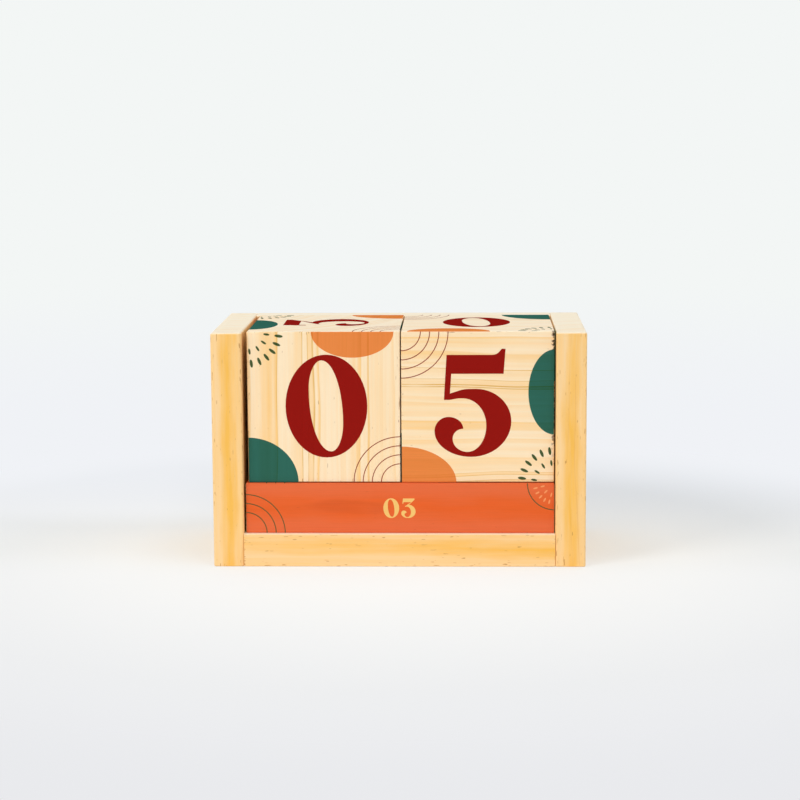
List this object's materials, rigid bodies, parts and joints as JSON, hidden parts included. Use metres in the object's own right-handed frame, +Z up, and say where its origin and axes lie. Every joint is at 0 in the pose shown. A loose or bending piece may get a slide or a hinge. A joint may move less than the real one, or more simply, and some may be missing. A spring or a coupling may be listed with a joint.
{
  "type": "block desk calendar",
  "caption": "Perpetual desk calendar: an open pine holder with two date cubes that lift out and a row of month bars that pull out from under them.",
  "frame": {"origin": "middle of the holder's footprint, on the surface that it stands on", "axes": "+X to the reader's right, +Y away from the reader towards the back board, +Z up"},
  "size_m": [0.1224, 0.062, 0.0777],
  "materials": {
    "pine_holder": "planed pine with a clear matt coat, eased edges",
    "pine_cube": "sanded pale pine with digits and a pattern printed in matt ink",
    "orange_bar": "pine printed orange all round in matt ink, with bare ends",
    "beech_dowel": "plain turned dowel, glued in"
  },
  "bodies": {
    "holder": {"left_side_board": "pine_holder", "right_side_board": "pine_holder", "base_board": "pine_holder", "back_board": "pine_holder", "base_dowel_left_front": "beech_dowel", "base_dowel_left_rear": "beech_dowel", "base_dowel_right_front": "beech_dowel", "base_dowel_right_rear": "beech_dowel", "back_dowel_left_lower": "beech_dowel", "back_dowel_left_upper": "beech_dowel", "back_dowel_right_lower": "beech_dowel", "back_dowel_right_upper": "beech_dowel"},
    "tens_block": {"tens_cube": "pine_cube"},
    "units_block": {"units_cube": "pine_cube"},
    "front_month": {"month_bar_front": "orange_bar"},
    "middle_month": {"month_bar_middle": "orange_bar"},
    "rear_month": {"month_bar_rear": "orange_bar"}
  },
  "joints": [
    {"name": "tens_cube_lift", "type": "slide", "parent": "holder", "child": "tens_block", "axis": [0, 0, 1], "range_m": [0, 0.065]},
    {"name": "units_cube_lift", "type": "slide", "parent": "holder", "child": "units_block", "axis": [0, 0, 1], "range_m": [0, 0.065]},
    {"name": "front_bar_pull", "type": "slide", "parent": "holder", "child": "front_month", "axis": [0, -1, 0], "range_m": [0, 0.08]},
    {"name": "middle_bar_pull", "type": "slide", "parent": "holder", "child": "middle_month", "axis": [0, -1, 0], "range_m": [0, 0.0672]},
    {"name": "rear_bar_pull", "type": "slide", "parent": "holder", "child": "rear_month", "axis": [0, -1, 0], "range_m": [0, 0.0544]}
  ],
  "couplings": [
    {"joint": "middle_bar_pull", "follows": "front_bar_pull", "ratio": 0.84},
    {"joint": "rear_bar_pull", "follows": "front_bar_pull", "ratio": 0.68}
  ]
}
